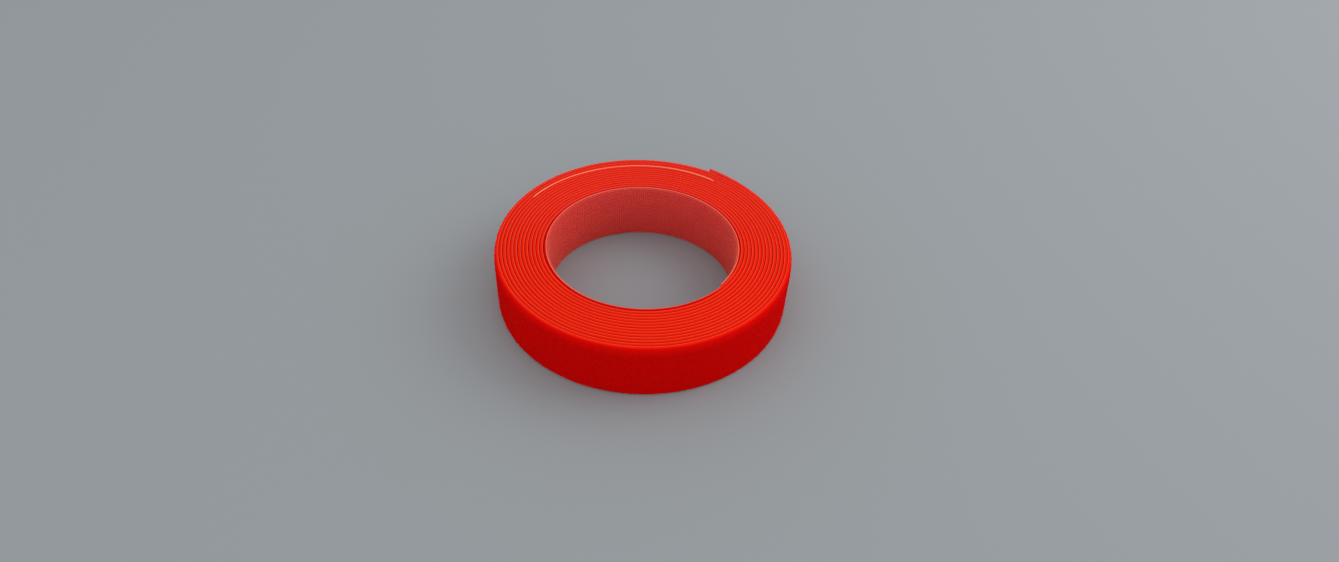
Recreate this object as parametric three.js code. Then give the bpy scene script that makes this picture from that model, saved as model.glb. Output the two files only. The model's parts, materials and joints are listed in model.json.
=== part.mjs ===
// A coreless roll of back-to-back hook and loop tape. The tape is a moulded hook film bonded to a
// knitted loop fabric, wound with its hooks inward so that every turn grips the turn below it.
// The roll lies on its side edges with its axis along Z, and its free end peels away from the roll.
import * as THREE from "three";

// Driving dimensions, in millimetres
const TAPE_WIDTH = 25;
const FILM_THICKNESS = 0.3; // base sheet of the hook film, the face that looks into the bore
const BOND_LINE = 0.05; // between the film and the fabric
const FABRIC_THICKNESS = 0.7; // knitted ground and its combed loops
const MESH_DEPTH = 0.37; // space between turns, where the hooks stand in the loops
const EDGE_FRAY = 0.15; // the fabric's slit edges stand this far past the film's
const BORE_RADIUS = 35.9; // film face at the tape's inner end
const OVAL = 1.15; // the soft roll lies this much out of round, longer one way and shorter the other
const TAIL_LIFT = 0.9; // how far the free end springs off the roll
const CUT_GAP = 0.3; // between neighbouring lengths of the tail

// Driving angles, in degrees, anticlockwise from +X as seen from above
const INNER_END = -36;
const OUTER_END = 61;
const OVAL_ANGLE = 4; // the oval's long way
const LIFT_ARC = 30; // stretch of the free end that springs off
const TAIL_LENGTH_ARC = 11; // one of the short lengths that the peeling tail bends between

// Counts
const FULL_TURNS = 14;
const TAIL_LENGTHS = 4;
const STEPS_PER_TURN = 36;

// The lay-up of one turn, as depths outward from the film's hook face
const FABRIC_DEPTH = FILM_THICKNESS + BOND_LINE;
const TAPE_THICKNESS = FABRIC_DEPTH + FABRIC_THICKNESS;
const TURN_PITCH = TAPE_THICKNESS + MESH_DEPTH;

// Winding angles run along the tape from its inner end to its outer end
const TURN = 360;
const STEP = TURN / STEPS_PER_TURN;
const SHORTEST_STEP = STEP / 10; // a shorter piece is left out beside a cut
const WOUND = FULL_TURNS * TURN + OUTER_END - INNER_END;
const TAIL_START = WOUND - TAIL_LENGTHS * TAIL_LENGTH_ARC;

// The two layers of the tape, from the bore outward
const HOOK_FILM = {
  name: "hook_film",
  depth: 0,
  thickness: FILM_THICKNESS,
  edgeInset: EDGE_FRAY,
  material: new THREE.MeshStandardMaterial({ color: 0xc23a30, roughness: 0.45, metalness: 0 }),
};
const LOOP_FABRIC = {
  name: "loop_fabric",
  depth: FABRIC_DEPTH,
  thickness: FABRIC_THICKNESS,
  edgeInset: 0,
  material: new THREE.MeshStandardMaterial({ color: 0xc40808, roughness: 0.95, metalness: 0 }),
};
const LAYERS = [HOOK_FILM, LOOP_FABRIC];

// Radius of the film's hook face at a winding angle: an oval spiral whose last stretch springs outward.
function filmRadius(wound) {
  const spiral = BORE_RADIUS + (TURN_PITCH * wound) / TURN;
  const oval = OVAL * Math.cos(2 * THREE.MathUtils.degToRad(INNER_END + wound - OVAL_ANGLE));
  const sprung = Math.max(0, 1 - (WOUND - wound) / LIFT_ARC);
  return spiral + oval + TAIL_LIFT * sprung ** 2;
}

// Point in plan at a winding angle, at a depth outward from the hook face.
function tapePoint(wound, depth) {
  const around = THREE.MathUtils.degToRad(INNER_END + wound);
  const radius = filmRadius(wound) + depth;
  return new THREE.Vector2(radius * Math.cos(around), radius * Math.sin(around));
}

// Winding angles of the steps from one cut to another. All turns step at the same angles, so they nest.
function windingSteps(from, to) {
  const steps = [from];
  for (let at = Math.ceil(from / STEP) * STEP; at < to; at += STEP) {
    if (at - from > SHORTEST_STEP && to - at > SHORTEST_STEP) steps.push(at);
  }
  steps.push(to);
  return steps;
}

// One layer of the tape between two winding angles: its plan outline drawn up to the layer's width.
function tapeLayer(layer, name, from, to) {
  const steps = windingSteps(from, to);
  const inside = steps.map((wound) => tapePoint(wound, layer.depth));
  const outside = steps.map((wound) => tapePoint(wound, layer.depth + layer.thickness));
  const outline = new THREE.Shape([...outside, ...inside.reverse()]);
  const width = TAPE_WIDTH - 2 * layer.edgeInset;
  const geometry = new THREE.ExtrudeGeometry(outline, { depth: width, bevelEnabled: false });
  const strip = new THREE.Mesh(geometry, layer.material);
  strip.name = name;
  strip.position.z = layer.edgeInset;
  return strip;
}

// Half of a cut between two lengths of tape, as a winding angle.
function halfCut(wound) {
  return THREE.MathUtils.radToDeg(CUT_GAP / 2 / filmRadius(wound));
}

// Points on a face of the wound strip: its steps and the middles of the chords between them.
function facePoints(depth, to) {
  const corners = windingSteps(0, to).map((wound) => tapePoint(wound, depth));
  const middles = corners.slice(1).map((corner, i) => corner.clone().lerp(corners[i], 0.5));
  return corners.flatMap((corner, i) => (i < middles.length ? [corner, middles[i]] : [corner]));
}

// Least distance between a wound strip's outer face and its own inner face on the turns further out.
function leastGap(layer, to) {
  const outer = facePoints(layer.depth + layer.thickness, to);
  const inner = facePoints(layer.depth, to);
  const gaps = outer.flatMap((point, i) => {
    const furtherOut = inner.slice(i + STEPS_PER_TURN);
    return furtherOut.map((other) => point.distanceTo(other));
  });
  return gaps.reduce((least, gap) => Math.min(least, gap), Infinity);
}

// Length of the tape along the back of its film.
function tapeLength() {
  const line = windingSteps(0, WOUND).map((wound) => tapePoint(wound, FILM_THICKNESS));
  return line.slice(1).reduce((sum, point, i) => sum + point.distanceTo(line[i]), 0);
}

// The wound roll, one unbroken strip of each layer
const roll = new THREE.Group();
const rollEnd = TAIL_START - halfCut(TAIL_START);
for (const layer of LAYERS) roll.add(tapeLayer(layer, layer.name, 0, rollEnd));

// The tail, length by length from the roll to the free end
for (let length = 1; length <= TAIL_LENGTHS; length++) {
  const start = TAIL_START + (length - 1) * TAIL_LENGTH_ARC;
  const end = start + TAIL_LENGTH_ARC;
  const from = start + halfCut(start);
  const to = length === TAIL_LENGTHS ? WOUND : end - halfCut(end);
  for (const layer of LAYERS) roll.add(tapeLayer(layer, `tail_${length}_${layer.name}`, from, to));
}

// The origin is under the middle of the roll's box, on the plane that it lies on.
const middle = new THREE.Box3().setFromObject(roll).getCenter(new THREE.Vector3());
roll.position.set(-middle.x, -middle.y, 0);

// The tail bends about the loop face at the start of each of its lengths.
for (let length = 1; length <= TAIL_LENGTHS; length++) {
  const bend = tapePoint(TAIL_START + (length - 1) * TAIL_LENGTH_ARC, TAPE_THICKNESS).sub(middle);
  console.log(`bend ${length} at x ${bend.x.toFixed(3)}, y ${bend.y.toFixed(3)} mm`);
}
console.log(`winding axis at x ${(-middle.x).toFixed(3)}, y ${(-middle.y).toFixed(3)} mm`);
console.log(`tape length ${tapeLength().toFixed(0)} mm`);
for (const layer of LAYERS) {
  console.log(`least gap of ${layer.name} to itself ${leastGap(layer, rollEnd).toFixed(2)} mm`);
}

export default roll;
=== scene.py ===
"""A coreless roll of back-to-back hook and loop tape, dressed over its solids.

Each layer of the tape is modelled flat, as it lies on a bench, and then wound on the roll. On the flat
tape x runs along it, y across it and z outward: the hooks point down from the film and the loops stand
up from the fabric.
"""
import json
import math

import bmesh
import bpy
import numpy as np
from mathutils import Matrix, Vector


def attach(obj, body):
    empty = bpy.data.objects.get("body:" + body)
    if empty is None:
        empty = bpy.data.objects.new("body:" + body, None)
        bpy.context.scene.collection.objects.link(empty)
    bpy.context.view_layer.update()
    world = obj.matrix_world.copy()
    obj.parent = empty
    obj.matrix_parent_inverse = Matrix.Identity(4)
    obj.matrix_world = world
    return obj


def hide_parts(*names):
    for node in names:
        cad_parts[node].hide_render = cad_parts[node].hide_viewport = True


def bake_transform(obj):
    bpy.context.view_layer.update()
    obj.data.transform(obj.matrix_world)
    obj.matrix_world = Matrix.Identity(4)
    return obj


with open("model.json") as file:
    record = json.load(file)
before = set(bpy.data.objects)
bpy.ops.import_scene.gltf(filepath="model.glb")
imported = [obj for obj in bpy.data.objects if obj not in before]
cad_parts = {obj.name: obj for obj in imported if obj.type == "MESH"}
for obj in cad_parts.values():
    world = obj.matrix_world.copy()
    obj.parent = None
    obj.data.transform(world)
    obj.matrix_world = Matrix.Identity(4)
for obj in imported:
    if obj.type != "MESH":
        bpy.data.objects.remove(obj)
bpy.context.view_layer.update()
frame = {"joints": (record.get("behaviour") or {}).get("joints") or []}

MM = 0.001
TURN = math.tau

# The tape and its winding, as the solids have them
TAPE_WIDTH = 25 * MM
FILM_THICKNESS = 0.3 * MM
TAPE_THICKNESS = 1.05 * MM  # out to the solids' loop face, about which the tail bends
TURN_PITCH = 1.42 * MM
BORE_RADIUS = 35.9 * MM
OVAL = 1.15 * MM
TAIL_LIFT = 0.9 * MM
INNER_END = math.radians(-36)
OUTER_END = math.radians(61)
OVAL_ANGLE = math.radians(4)
LIFT_ARC = math.radians(30)
TAIL_LENGTH_ARC = math.radians(11)
FULL_TURNS = 14
TAIL_LENGTHS = 4
WOUND = FULL_TURNS * TURN + OUTER_END - INNER_END
TAIL_START = WOUND - TAIL_LENGTHS * TAIL_LENGTH_ARC
BEND_ARC = math.radians(8)  # in which the peeling tail turns at each joint
ROLL_STOP = TAIL_START - BEND_ARC / 2

# Fine form of the two sheets
STEPS_PER_TURN = 300  # of the wound sheets
STEP = TURN / STEPS_PER_TURN
FILM_EDGE = 0.06 * MM  # rounding of the film's slit edges
FILM_EDGE_SEGMENTS = 2
TURN_CLEARANCE = 0.05 * MM  # left between the pile and the next turn's film
PILE_DEPTH = TURN_PITCH - TURN_CLEARANCE  # the pile fills the turn, out from the hook face
PILE_EDGE = 0.6 * MM  # rounding of the pile along its slit edges, which leaves a groove between turns
PILE_EDGE_SEGMENTS = 4
SWAY = 0.15 * MM  # most that the tape's edges stand above the level that the roll lies on
SWAY_WAVES = ((0.5, 0.61, 0.4), (0.3, 1.37, 2.1), (0.2, 3.83, 4.4))  # share, waves in a turn, phase
INNER_BARE = 0.3 * MM  # the innermost turn's fabric has sunk this far below the film's upper edge
INNER_BARE_ARC = math.radians(40)  # in which it comes level again, at the end of that turn
END_PRESS = 0.7 * MM  # the inner end is pressed flat into its own pile
END_PRESS_ARC = math.radians(110)
LOFT = 0.2 * MM  # the outer turn's free pile stands this much higher than the pressed pile
LOFT_ARC = math.radians(12)  # in which it rises, past the tail's end
SHOULDER = 4.5 * MM  # height in which the free pile slopes in to its upper edge
SHOULDER_DROP = 0.4 * MM
SHOULDER_BANDS = 5  # of faces in that height
SLIVER_SECTION = (0.36 * MM, 0.4 * MM)  # of a sliver slit off the film's edge, outward and up
SLIVER_SUNK = 0.1 * MM  # of the sliver in the pile that it lies on
SLIVER_STRAY = (0.1 * MM, 1.25 * MM)  # outward from the film that it comes from, at its start and stop
SLIVER_UNEVEN = 0.45  # share by which it stands higher at its ends
SLIVER_TURNS = 10  # wound inside it
SLIVER_START = SLIVER_TURNS * TURN + math.radians(90.6)
SLIVER_STOP = SLIVER_TURNS * TURN + math.radians(187)
SLIVER_TAPER = math.radians(2)  # in which it rises at its start and falls at its stop
CREASE_ANGLE = math.radians(50)  # a sharper edge stays crisp

# The moulded hooks
HOOK_PITCH = (0.9 * MM, 1.0 * MM)  # along a lane and from lane to lane
HOOK_SECTION = (0.28 * MM, 0.2 * MM)  # of the stem's foot, along the tape and across it
HOOK_STEM = 0.3 * MM
HOOK_TAPER = 0.75  # share of that section at the top of the stem
HOOK_HEAD = 0.16 * MM  # radius that the head turns over on
HOOK_TURN = math.radians(150)
HOOK_STEPS = 2
HOOK_MARGIN = 0.6 * MM  # from the slit edge to the first lane

# The loop pile, drawn coarser than real loops so that it shows
LOOP_PITCH = (1.15 * MM, 1.0 * MM)  # along a lane and from lane to lane
LOOP_FILAMENT = 0.08 * MM  # radius
LOOP_SIDES = 3
LOOP_SPAN = 0.4 * MM  # half of the way between a loop's feet
LOOP_HEIGHT = 0.36 * MM
LOOP_SUNK = 0.05 * MM  # of the feet in the pile
LOOP_STEPS = 4
LOOP_MARGIN = 0.85 * MM
LOOP_STAGGER = 0.5  # of the pitch, between neighbouring lanes
LOOP_SCATTER = 0.35  # of the pitch, that a loop lies out of line
LOOP_YAW = math.radians(70)
LOOP_UNEVEN = (0.75, 1.1)  # least and most share of its height that a loop stands
LOOP_LEAST = 0.12  # share of its height that a loop pressed under the tail keeps
PILE_SEED = 5  # of the outer turn's loops; each length of the tail takes the next

# The photographed view
IMAGE_WIDTH_PX = 1339
FOCAL_PX = 920.8
CAMERA_DISTANCE = 380.06 * MM
CAMERA_ELEVATION = math.radians(44.49)
CAMERA_PAN = math.radians(-1.708)
CAMERA_TILT = math.radians(0.536)
CAMERA_ROLL = math.radians(-2.046)
CLIP_START = CAMERA_DISTANCE / 100
SENSOR_WIDTH = 36  # in millimetres, as Blender counts it

# The stage, in metres and watts
FLOOR_RADIUS = 3
FLOOR_SEGMENTS = 96
SKY_STRENGTH = 0.985
SOFTBOX_PLACE = Vector((0.75, 0.2, 0.65))
SOFTBOX_SIZE = 0.7
SOFTBOX_POWER = 2.5


# Winding


def press(wound):
    """How far outward the tape's inner end is pressed, at winding angles from that end."""
    return END_PRESS * np.clip(1 - wound / END_PRESS_ARC, 0, None) ** 2


def bare(wound):
    """How far the film's upper edge stands above the fabric's."""
    return INNER_BARE * np.clip((TURN - wound) / INNER_BARE_ARC, 0, 1)


def loft(wound, across):
    """How far the pile stands above the pressed pile, at distances across the tape."""
    free = np.clip((wound + TURN - WOUND) / LOFT_ARC, 0, 1)
    slope = np.clip(1 - (TAPE_WIDTH - across) / SHOULDER, 0, None) ** 2
    return free * (LOFT - SHOULDER_DROP * slope)


def film_radius(wound):
    """Radius of the film's hook face."""
    spiral = BORE_RADIUS + TURN_PITCH * wound / TURN
    oval = OVAL * np.cos(2 * (INNER_END + wound - OVAL_ANGLE))
    sprung = TAIL_LIFT * np.clip(1 - (WOUND - wound) / LIFT_ARC, 0, None) ** 2
    return spiral + oval + sprung + press(wound)


def from_axis(wound, depth):
    """Plan position, from the winding axis, at a depth outward from the hook face."""
    radius = film_radius(wound) + depth
    return radius * np.cos(INNER_END + wound), radius * np.sin(INNER_END + wound)


ROOT = Vector(frame["joints"][0]["pos_m"])  # the first bend of the tail, on the loop face
AXIS = ROOT - Vector((*from_axis(TAIL_START, TAPE_THICKNESS), ROOT.z))  # of the winding, at the floor


def sway(wound):
    """How far the tape's edges stand above the level that the roll lies on."""
    waves = sum(share * np.sin(rate * wound + phase) for share, rate, phase in SWAY_WAVES)
    return SWAY * (1 + waves) / 2


def flat_length(start, stop):
    """Length of tape between two winding angles, along its bond and as if the roll were round."""
    radius = BORE_RADIUS + FILM_THICKNESS + TURN_PITCH * (start + stop) / 2 / TURN
    return (stop - start) * radius


def wound_at(along, start, stop):
    """Winding angles of places along a flat stretch of tape."""
    return start + along / flat_length(start, stop) * (stop - start)


def points_of(mesh):
    points = np.empty(3 * len(mesh.vertices), np.float32)
    mesh.vertices.foreach_get("co", points)
    return points.reshape(-1, 3).astype(float)


def place_points(mesh, points):
    mesh.vertices.foreach_set("co", points.astype(np.float32).ravel())
    mesh.update()


def wind(mesh, start, stop):
    """Winds a flat mesh on the roll.

    A UV map keeps each point's place on the whole tape, in metres, and an attribute keeps its depth.
    """
    flat = points_of(mesh)
    corner = np.empty(len(mesh.loops), np.int32)
    mesh.loops.foreach_get("vertex_index", corner)
    place = (flat[corner, :2] + (flat_length(0, start), 0)).astype(np.float32)
    mesh.uv_layers.new(name="tape").data.foreach_set("uv", place.ravel())
    depth = flat[:, 2].astype(np.float32)
    mesh.attributes.new("depth", "FLOAT", "POINT").data.foreach_set("value", depth)
    wound = wound_at(flat[:, 0], start, stop)
    x, y = from_axis(wound, flat[:, 2])
    place_points(mesh, np.column_stack([AXIS.x + x, AXIS.y + y, flat[:, 1] + sway(wound)]))
    return mesh


# Flat shapes


def parts(geometry, kind):
    return [part for part in geometry if isinstance(part, kind)]


def strip(start, stop, low, high):
    """A flat bar of the tape's width between two depths, with a row of faces for each winding step."""
    length = flat_length(start, stop)
    bm = bmesh.new()
    steps = max(2, round((stop - start) / STEP))
    bmesh.ops.create_grid(bm, x_segments=steps, y_segments=1, size=0.5)
    bmesh.ops.scale(bm, vec=(length, TAPE_WIDTH, 1), verts=bm.verts)
    bmesh.ops.translate(bm, vec=(length / 2, TAPE_WIDTH / 2, low), verts=bm.verts)
    raised = bmesh.ops.extrude_face_region(bm, geom=bm.faces[:])["geom"]
    bmesh.ops.translate(bm, vec=(0, 0, high - low), verts=parts(raised, bmesh.types.BMVert))
    bmesh.ops.recalc_face_normals(bm, faces=bm.faces)
    return bm


def round_slit_edges(bm, radius, segments, depth):
    """Rounds a strip's long edges that lie at a depth or further out."""
    slack = radius / 2
    along = [edge for edge in bm.edges if (edge.verts[0].co - edge.verts[1].co).yz.length < slack]
    outer = [edge for edge in along if edge.verts[0].co.z > depth - slack]
    bmesh.ops.bevel(
        bm, geom=outer, offset=radius, segments=segments, profile=0.5, affect="EDGES", material=-1
    )


def to_mesh(bm, name):
    mesh = bpy.data.meshes.new(name)
    bm.to_mesh(mesh)
    bm.free()
    return mesh


def film(name, start, stop):
    """The hook film's base sheet."""
    bm = strip(start, stop, 0, FILM_THICKNESS)
    round_slit_edges(bm, FILM_EDGE, FILM_EDGE_SEGMENTS, 0)
    return wind(to_mesh(bm, name), start, stop)


def sliver(name):
    """A sliver that the slitting knife left on the film's upper edge. It strays outward over the pile."""
    outward, up = SLIVER_SECTION
    bm = strip(SLIVER_START, SLIVER_STOP, 0, outward)
    bmesh.ops.scale(bm, vec=(1, up / TAPE_WIDTH, 1), verts=bm.verts)
    round_slit_edges(bm, FILM_EDGE, FILM_EDGE_SEGMENTS, 0)
    mesh = to_mesh(bm, name)
    flat = points_of(mesh)
    wound = wound_at(flat[:, 0], SLIVER_START, SLIVER_STOP)
    share = (wound - SLIVER_START) / (SLIVER_STOP - SLIVER_START)
    taper = np.clip(np.minimum(wound - SLIVER_START, SLIVER_STOP - wound) / SLIVER_TAPER, 0, 1)
    flat[:, 1] = TAPE_WIDTH - SLIVER_SUNK + flat[:, 1] * taper * (1 + SLIVER_UNEVEN * np.cos(TURN * share))
    flat[:, 2] += np.interp(share, (0, 1), SLIVER_STRAY)
    place_points(mesh, flat)
    return wind(mesh, SLIVER_START, SLIVER_STOP)


def fabric(name, start, stop):
    """The loop fabric: its ground and the body of its pile, which fills the turn."""
    bm = strip(start, stop, FILM_THICKNESS, PILE_DEPTH)
    round_slit_edges(bm, PILE_EDGE, PILE_EDGE_SEGMENTS, PILE_DEPTH)
    for band in range(1, SHOULDER_BANDS):
        free = [face for face in bm.faces if wound_at(face.verts[0].co.x, start, stop) > WOUND - TURN]
        edges = list({edge for face in free for edge in face.edges})
        level = TAPE_WIDTH - SHOULDER * band / SHOULDER_BANDS
        bmesh.ops.bisect_plane(bm, geom=free + edges, plane_co=(0, level, 0), plane_no=(0, 1, 0))
    mesh = to_mesh(bm, name)
    flat = points_of(mesh)
    wound = wound_at(flat[:, 0], start, stop)
    stretch = (loft(wound, flat[:, 1]) - press(wound)) / (PILE_DEPTH - FILM_THICKNESS)
    flat[:, 2] += stretch * (flat[:, 2] - FILM_THICKNESS)
    flat[:, 1] *= 1 - bare(wound) / TAPE_WIDTH
    place_points(mesh, flat)
    return wind(mesh, start, stop)


def hook_shape():
    """One moulded hook: a tapered stem whose head turns over along the tape, standing down from the film."""
    bm = bmesh.new()
    bmesh.ops.create_grid(bm, x_segments=1, y_segments=1, size=0.5)
    bmesh.ops.scale(bm, vec=(*HOOK_SECTION, 1), verts=bm.verts)
    top = bmesh.ops.extrude_face_region(bm, geom=bm.faces[:])["geom"]
    upper = parts(top, bmesh.types.BMVert)
    bmesh.ops.scale(bm, vec=(HOOK_TAPER, HOOK_TAPER, 1), verts=upper)
    bmesh.ops.translate(bm, vec=(0, 0, HOOK_STEM), verts=upper)
    pivot = (HOOK_HEAD, 0, HOOK_STEM)
    bmesh.ops.spin(bm, geom=top, cent=pivot, axis=(0, 1, 0), angle=HOOK_TURN, steps=HOOK_STEPS)
    bmesh.ops.rotate(bm, matrix=Matrix.Rotation(math.pi, 3, "X"), verts=bm.verts)
    bmesh.ops.recalc_face_normals(bm, faces=bm.faces)
    return bm


def loop_shape():
    """One loop of the pile: a filament arched from foot to foot, standing up from the fabric."""
    bm = bmesh.new()
    bmesh.ops.create_circle(bm, cap_ends=True, segments=LOOP_SIDES, radius=LOOP_FILAMENT)
    bmesh.ops.translate(bm, vec=(-LOOP_SPAN, 0, 0), verts=bm.verts)
    geometry = bm.verts[:] + bm.edges[:] + bm.faces[:]
    bmesh.ops.spin(bm, geom=geometry, cent=(0, 0, 0), axis=(0, 1, 0), angle=math.pi, steps=LOOP_STEPS)
    bmesh.ops.scale(bm, vec=(1, 1, LOOP_HEIGHT / LOOP_SPAN), verts=bm.verts)
    bmesh.ops.recalc_face_normals(bm, faces=bm.faces)
    return bm


def repeated(bm, name, copies):
    """A mesh of that many copies of a small shape, one on another, and the shape's own points."""
    seed = bpy.data.objects.new(name, to_mesh(bm, name))
    bpy.context.scene.collection.objects.link(seed)
    array = seed.modifiers.new("copies", "ARRAY")
    array.count = copies
    array.use_relative_offset = False
    shape = points_of(seed.data)
    graph = bpy.context.evaluated_depsgraph_get()
    mesh = bpy.data.meshes.new_from_object(seed.evaluated_get(graph))
    bpy.data.meshes.remove(seed.data)  # its object goes with it
    mesh.name = name
    return mesh, shape


def lanes(start, stop, pitch, margin, stagger):
    """Places on the flat tape, in lanes along it, and the lane that each is in."""
    length = flat_length(start, stop)
    columns = max(1, round(length / pitch[0]))
    rows = round((TAPE_WIDTH - 2 * margin) / pitch[1])
    row, column = (index.ravel() for index in np.mgrid[: rows + 1, :columns])
    along = (column + (1 - stagger) / 2 + stagger * (row % 2)) * length / columns
    across = margin + row * (TAPE_WIDTH - 2 * margin) / rows
    return along, across, row


def turned(shape, yaw):
    """Copies of a shape's points, each turned about its own upright."""
    cos = np.cos(yaw)[:, None]
    sin = np.sin(yaw)[:, None]
    x, y, z = shape.T
    upright = np.broadcast_to(z, (len(yaw), len(z)))
    return np.stack([cos * x - sin * y, sin * x + cos * y, upright], axis=-1)


def hooks(name, start, stop):
    """The film's hooks, in lanes that face along the tape by turns one way and the other."""
    along, across, row = lanes(start, stop, HOOK_PITCH, HOOK_MARGIN, stagger=0)
    mesh, shape = repeated(hook_shape(), name, len(along))
    points = turned(shape, math.pi * (row % 2))
    points[..., 0] += along[:, None]
    points[..., 1] += across[:, None]
    place_points(mesh, points.reshape(-1, 3))
    return wind(mesh, start, stop)


def room_outside(wound):
    """Height left for the loops of a turn under the next turn, where there is one."""
    covered = wound + TURN < WOUND
    return np.where(covered, film_radius(wound + TURN) - film_radius(wound) - PILE_DEPTH, LOOP_HEIGHT)


def pile(name, start, stop, seed):
    """The free loops of the outer face. Under the tail they are pressed into the room that it leaves."""
    along, across, _ = lanes(start, stop, LOOP_PITCH, LOOP_MARGIN, LOOP_STAGGER)
    mesh, shape = repeated(loop_shape(), name, len(along))
    random = np.random.default_rng(seed)
    along = along + random.uniform(-1, 1, len(along)) * LOOP_SCATTER * LOOP_PITCH[0]
    across = across + random.uniform(-1, 1, len(along)) * LOOP_SCATTER * LOOP_PITCH[1]
    along = np.clip(along, LOOP_SPAN, flat_length(start, stop) - LOOP_SPAN)
    points = turned(shape, random.uniform(-1, 1, len(along)) * LOOP_YAW)
    wound = wound_at(along, start, stop)
    room = room_outside(wound) / LOOP_HEIGHT
    stands = np.clip(room, LOOP_LEAST, 1) * random.uniform(*LOOP_UNEVEN, len(along))
    points[..., 0] += along[:, None]
    points[..., 1] += across[:, None]
    foot = PILE_DEPTH + loft(wound, across) - LOOP_SUNK
    points[..., 2] = foot[:, None] + points[..., 2] * stands[:, None]
    place_points(mesh, points.reshape(-1, 3))
    return wind(mesh, start, stop)


# Materials


def linear(colour):
    """A linear colour from an sRGB hex value."""
    encoded = [int(colour[at : at + 2], 16) / 255 for at in (1, 3, 5)]
    light = [share / 12.92 if share <= 0.04045 else ((share + 0.055) / 1.055) ** 2.4 for share in encoded]
    return (*light, 1)


def add(tree, kind, inputs=(), **settings):
    """Adds a node with its settings. An input is a value, or a socket that it is linked from."""
    made = tree.nodes.new(kind)
    for name, value in settings.items():
        setattr(made, name, value)
    for name, value in dict(inputs).items():
        if isinstance(value, bpy.types.NodeSocket):
            tree.links.new(value, made.inputs[name])
        else:
            made.inputs[name].default_value = value
    return made


def new_material(name):
    material = bpy.data.materials.new(name)
    material.use_nodes = True
    material.node_tree.nodes.clear()
    return material, material.node_tree


def tape_place(tree):
    """Sockets of the distances along the whole tape and across it."""
    flat = add(tree, "ShaderNodeUVMap", uv_map="tape").outputs["UV"]
    place = add(tree, "ShaderNodeSeparateXYZ", {"Vector": flat})
    return place.outputs["X"], place.outputs["Y"]


def slit_edge(tree, across, reach):
    """A socket that is 1 on the tape's slit edges and falls to 0 at a reach in from them."""
    inset = add(tree, "ShaderNodeMath", {0: across, 1: TAPE_WIDTH / 2}, operation="PINGPONG").outputs[0]
    return add(tree, "ShaderNodeMapRange", {"Value": inset, "From Min": reach, "From Max": 0}).outputs[0]


def brushed_nylon_knit():
    """Brushed nylon knit: a deep matte red with no gloss and a faint nap, because its loops swallow light.

    On the outermost turn the nap is painted brighter toward its upper edge, a painted glow of the light
    that gets into the pile from above. The slit edges themselves show the cut fibres of the knit's
    dense ground, which is more orange. Painted shade darkens the pile between the turns.
    """
    nap_width = 7 * MM
    tuft_width = 0.8 * MM  # of a few loops together, because one is too fine to show
    tuft_height = 0.25 * MM
    fibre_width = 0.25 * MM  # of a bundle, because one fibre is too fine to show
    fibre_height = 0.12 * MM
    ground_reach = 0.15 * MM  # of the ground's tone, in from the slit edges
    material, tree = new_material("brushed_nylon_knit")
    place = add(tree, "ShaderNodeTexCoord").outputs["Object"]
    nap = add(tree, "ShaderNodeTexNoise", {"Vector": place, "Scale": 1 / nap_width, "Detail": 2})
    tuft = add(tree, "ShaderNodeTexNoise", {"Vector": place, "Scale": 1 / tuft_width, "Detail": 3})
    combed = add(
        tree,
        "ShaderNodeMix",
        {"Factor": nap.outputs["Fac"], "A": linear("#E00503"), "B": linear("#EE0604")},
        data_type="RGBA",
    )
    pile_tone = add(
        tree,
        "ShaderNodeMix",
        {"Factor": tuft.outputs["Fac"], "A": linear("#CC0402"), "B": combed.outputs[2]},
        data_type="RGBA",
    )
    along, across = tape_place(tree)
    last_turn = flat_length(0, WOUND - TURN)
    outermost = add(
        tree,
        "ShaderNodeMapRange",
        {"Value": along, "From Min": last_turn, "From Max": last_turn + TAPE_WIDTH},
    )
    # painted glow: on the outermost turn the upper band of the pile is made brighter, as light from above
    # would make it
    painted_top_glow = add(
        tree,
        "ShaderNodeMapRange",
        {
            "Value": across,
            "From Min": TAPE_WIDTH - SHOULDER,
            "From Max": TAPE_WIDTH,
            "To Max": outermost.outputs[0],
        },
    )
    # painted shade: the pile of the turns that lie under another turn is darker, as shade in the grooves
    # between turns
    inside = add(
        tree, "ShaderNodeMath", {0: along, 1: flat_length(0, TAIL_START - TURN)}, operation="LESS_THAN"
    )
    pressed = add(
        tree,
        "ShaderNodeMix",
        {"Factor": inside.outputs[0], "A": pile_tone.outputs[2], "B": linear("#C80402")},
        data_type="RGBA",
    )
    # mixes in the painted glow's brighter red, #F60A05, over the upper band
    nap_tone = add(
        tree,
        "ShaderNodeMix",
        {"Factor": painted_top_glow.outputs[0], "A": pressed.outputs[2], "B": linear("#F60A05")},
        data_type="RGBA",
    )
    fibre = add(tree, "ShaderNodeTexNoise", {"Vector": place, "Scale": 1 / fibre_width, "Detail": 2})
    knit = add(
        tree,
        "ShaderNodeMix",
        {"Factor": fibre.outputs["Fac"], "A": linear("#D01305"), "B": linear("#FF2B08")},
        data_type="RGBA",
    )
    ground = slit_edge(tree, across, ground_reach)
    tone = add(
        tree,
        "ShaderNodeMix",
        {"Factor": ground, "A": nap_tone.outputs[2], "B": knit.outputs[2]},
        data_type="RGBA",
    )
    tufted = add(
        tree, "ShaderNodeBump", {"Height": tuft.outputs["Fac"], "Strength": 0.6, "Distance": tuft_height}
    )
    bump = add(
        tree,
        "ShaderNodeBump",
        {
            "Height": fibre.outputs["Fac"],
            "Strength": 0.6,
            "Distance": fibre_height,
            "Normal": tufted.outputs["Normal"],
        },
    )
    shader = add(
        tree,
        "ShaderNodeBsdfPrincipled",
        {
            "Base Color": tone.outputs[2],
            "Roughness": 0.95,
            "Specular IOR Level": 0.02,
            "Sheen Weight": 0.2,
            "Sheen Roughness": 0.5,
            "Sheen Tint": linear("#FF1408"),
            "Normal": bump.outputs["Normal"],
        },
    )
    add(tree, "ShaderNodeOutputMaterial", {"Surface": shader.outputs[0]})
    return material


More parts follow.
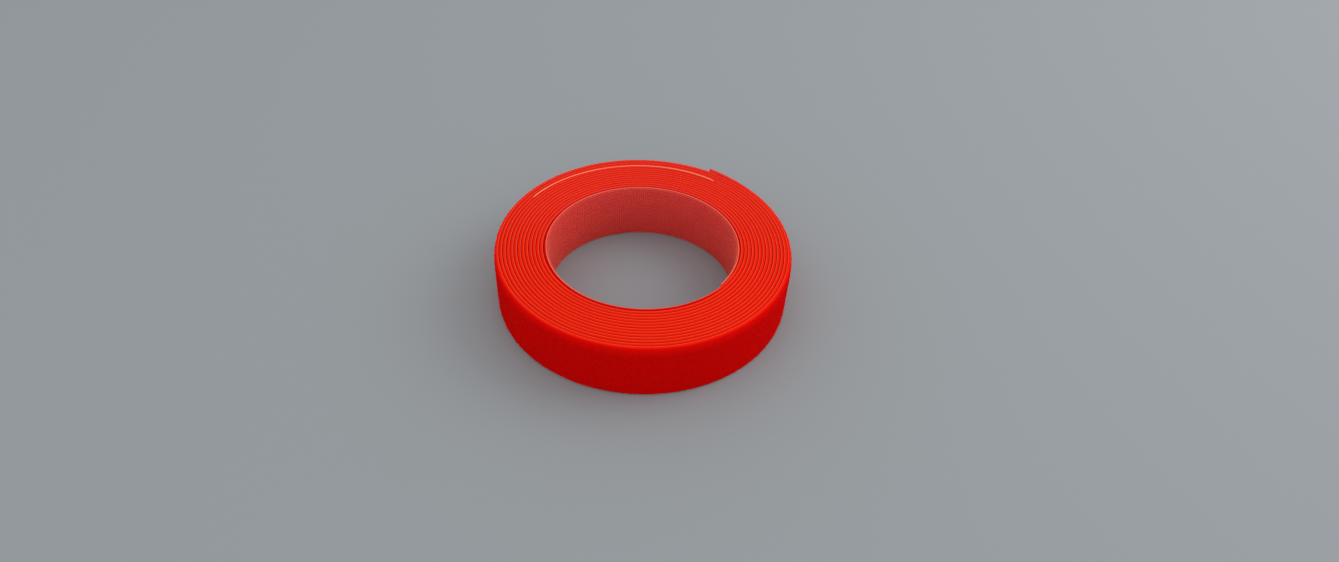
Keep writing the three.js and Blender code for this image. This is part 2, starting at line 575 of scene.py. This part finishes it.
def moulded_polypropylene():
    """Moulded polypropylene film: a satin crimson sheet with a fine grain from its mould.

    The real film is a little see-through. Tones stand in for the light that comes out where it is thin or
    free: its slit edges are orange, and its hook tips, its rim round the bore and the proud sliver are
    paler still.
    """
    haze_width = 5 * MM
    grain_width = 0.35 * MM
    grain_height = 0.03 * MM
    satin = (0.35, 0.55)  # least and most roughness
    slit_reach = 3 * FILM_EDGE
    rim_reach = 0.5 * MM
    rim_pale = 0.5  # share of the palest tone on the rim
    tip_pale = 0.55  # and on the hook tips
    stem_foot = 0.1 * MM  # of a hook's stem that keeps the sheet's tone
    material, tree = new_material("moulded_polypropylene")
    place = add(tree, "ShaderNodeTexCoord").outputs["Object"]
    haze = add(tree, "ShaderNodeTexNoise", {"Vector": place, "Scale": 1 / haze_width, "Detail": 2})
    sheet = add(
        tree,
        "ShaderNodeMix",
        {"Factor": haze.outputs["Fac"], "A": linear("#E03A3B"), "B": linear("#E8403F")},
        data_type="RGBA",
    )
    along, across = tape_place(tree)
    slit = add(
        tree,
        "ShaderNodeMix",
        {"Factor": slit_edge(tree, across, slit_reach), "A": sheet.outputs[2], "B": linear("#F63C1C")},
        data_type="RGBA",
    )
    depth = add(tree, "ShaderNodeAttribute", attribute_name="depth").outputs["Fac"]
    tip = add(
        tree,
        "ShaderNodeMapRange",
        {"Value": depth, "From Min": -stem_foot, "From Max": -HOOK_STEM, "To Max": tip_pale},
    )
    proud = add(
        tree,
        "ShaderNodeMapRange",
        {"Value": across, "From Min": TAPE_WIDTH, "From Max": TAPE_WIDTH + SLIVER_SUNK},
    )
    first_turn = flat_length(0, TURN)
    innermost = add(
        tree,
        "ShaderNodeMapRange",
        {"Value": along, "From Min": first_turn, "From Max": first_turn - TAPE_WIDTH, "To Max": rim_pale},
    )
    rim = add(
        tree,
        "ShaderNodeMath",
        {0: innermost.outputs[0], 1: slit_edge(tree, across, rim_reach)},
        operation="MULTIPLY",
    )
    free = add(tree, "ShaderNodeMath", {0: proud.outputs[0], 1: rim.outputs[0]}, operation="MAXIMUM")
    pale = add(tree, "ShaderNodeMath", {0: tip.outputs[0], 1: free.outputs[0]}, operation="MAXIMUM")
    tone = add(
        tree,
        "ShaderNodeMix",
        {"Factor": pale.outputs[0], "A": slit.outputs[2], "B": linear("#FF8F70")},
        data_type="RGBA",
    )
    roughness = add(
        tree, "ShaderNodeMapRange", {"Value": haze.outputs["Fac"], "To Min": satin[0], "To Max": satin[1]}
    )
    grain = add(tree, "ShaderNodeTexNoise", {"Vector": place, "Scale": 1 / grain_width, "Detail": 2})
    bump = add(
        tree, "ShaderNodeBump", {"Height": grain.outputs["Fac"], "Strength": 0.5, "Distance": grain_height}
    )
    shader = add(
        tree,
        "ShaderNodeBsdfPrincipled",
        {
            "Base Color": tone.outputs[2],
            "Roughness": roughness.outputs[0],
            "Specular IOR Level": 0.2,
            "Normal": bump.outputs["Normal"],
        },
    )
    add(tree, "ShaderNodeOutputMaterial", {"Surface": shader.outputs[0]})
    return material


# Pieces


def new_piece(mesh, material):
    mesh.materials.clear()
    mesh.materials.append(material)
    mesh.shade_smooth()
    mesh.set_sharp_from_angle(angle=CREASE_ANGLE)
    made = bpy.data.objects.new(mesh.name, mesh)
    bpy.context.scene.collection.objects.link(made)
    return made


nylon = brushed_nylon_knit()
polypropylene = moulded_polypropylene()


def fabric_piece(mesh):
    return new_piece(mesh, nylon)


def film_piece(mesh):
    return new_piece(mesh, polypropylene)


# The wound roll, and the free faces of its first and last turns
wound_fabric = fabric_piece(fabric("wound_fabric", 0, ROLL_STOP))
wound_film = film_piece(film("wound_film", 0, ROLL_STOP))
bore_hooks = film_piece(hooks("bore_hooks", 0, TURN))
outer_pile = fabric_piece(pile("outer_pile", TAIL_START - TURN, ROLL_STOP, PILE_SEED))
film_sliver = film_piece(sliver("film_sliver"))
for piece in (wound_fabric, wound_film, bore_hooks, outer_pile, film_sliver):
    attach(piece, "roll")
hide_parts("loop_fabric")
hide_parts("hook_film")

# Each stretch of the tail runs from mid-length to mid-length across one of its joints
bodies = ["roll", *(f"tail_{length}" for length in range(1, TAIL_LENGTHS + 1))]
tail_cloth = []
for length in range(1, TAIL_LENGTHS + 1):
    joint = TAIL_START + (length - 1) * TAIL_LENGTH_ARC
    start = max(ROLL_STOP, joint - TAIL_LENGTH_ARC / 2)
    stop = WOUND if length == TAIL_LENGTHS else joint + TAIL_LENGTH_ARC / 2
    name = bodies[length]
    tail_fabric = fabric_piece(fabric(f"{name}_fabric", start, stop))
    tail_film = film_piece(film(f"{name}_film", start, stop))
    tail_hooks = film_piece(hooks(f"{name}_hooks", start, stop))
    tail_pile = fabric_piece(pile(f"{name}_pile", start, stop, PILE_SEED + length))
    for piece in (tail_fabric, tail_film, tail_hooks, tail_pile):
        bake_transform(piece)
    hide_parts(f"{name}_loop_fabric")
    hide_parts(f"{name}_hook_film")
    tail_cloth += [tail_fabric, tail_pile]


# Stage


def stage_floor():
    bm = bmesh.new()
    bmesh.ops.create_circle(bm, cap_ends=True, segments=FLOOR_SEGMENTS, radius=FLOOR_RADIUS)
    floor = bpy.data.objects.new("floor", to_mesh(bm, "floor"))
    material, tree = new_material("painted_board")
    shader = add(
        tree,
        "ShaderNodeBsdfPrincipled",
        {"Base Color": linear("#93989B"), "Roughness": 0.9, "Specular IOR Level": 0.1},
    )
    add(tree, "ShaderNodeOutputMaterial", {"Surface": shader.outputs[0]})
    floor.data.materials.append(material)
    bpy.context.scene.collection.objects.link(floor)


def studio_light():
    """A pale sky and a softbox. What is seen of the sky, also in reflections, is a plain backdrop."""
    world = bpy.data.worlds.new("studio")
    bpy.context.scene.world = world
    world.use_nodes = True
    tree = world.node_tree
    tree.nodes.clear()
    sky = add(tree, "ShaderNodeBackground", {"Color": linear("#F6F7F8"), "Strength": SKY_STRENGTH})
    backdrop = add(tree, "ShaderNodeBackground", {"Color": linear("#939798")})
    ray = add(tree, "ShaderNodeLightPath").outputs
    mirrored = add(
        tree, "ShaderNodeMath", {0: ray["Is Glossy Ray"], 1: ray["Is Transmission Ray"]}, operation="MAXIMUM"
    )
    seen = add(
        tree, "ShaderNodeMath", {0: ray["Is Camera Ray"], 1: mirrored.outputs[0]}, operation="MAXIMUM"
    )
    shown = add(
        tree, "ShaderNodeMixShader", {0: seen.outputs[0], 1: sky.outputs[0], 2: backdrop.outputs[0]}
    )
    add(tree, "ShaderNodeOutputWorld", {"Surface": shown.outputs[0]})
    lamp = bpy.data.lights.new("softbox", "AREA")
    lamp.shape = "DISK"
    lamp.size = SOFTBOX_SIZE
    lamp.energy = SOFTBOX_POWER
    softbox = bpy.data.objects.new("softbox", lamp)
    softbox.location = SOFTBOX_PLACE
    softbox.rotation_mode = "QUATERNION"
    softbox.rotation_quaternion = (-SOFTBOX_PLACE).to_track_quat("-Z", "Y")
    bpy.context.scene.collection.objects.link(softbox)


def photo_camera():
    lens = bpy.data.cameras.new("camera")
    lens.sensor_width = SENSOR_WIDTH
    lens.lens = SENSOR_WIDTH * FOCAL_PX / IMAGE_WIDTH_PX
    lens.clip_start = CLIP_START
    camera = bpy.data.objects.new("camera", lens)
    stands = Vector((0, -math.cos(CAMERA_ELEVATION), math.sin(CAMERA_ELEVATION))) * CAMERA_DISTANCE
    camera.matrix_world = (
        Matrix.Translation(AXIS + stands)
        @ Matrix.Rotation(math.pi / 2 - CAMERA_ELEVATION, 4, "X")
        @ Matrix.Rotation(CAMERA_PAN, 4, "Y")
        @ Matrix.Rotation(CAMERA_TILT, 4, "X")
        @ Matrix.Rotation(-CAMERA_ROLL, 4, "Z")
    )
    bpy.context.scene.collection.objects.link(camera)
    bpy.context.scene.camera = camera


stage_floor()
studio_light()
photo_camera()
bpy.context.scene.view_settings.view_transform = "Standard"
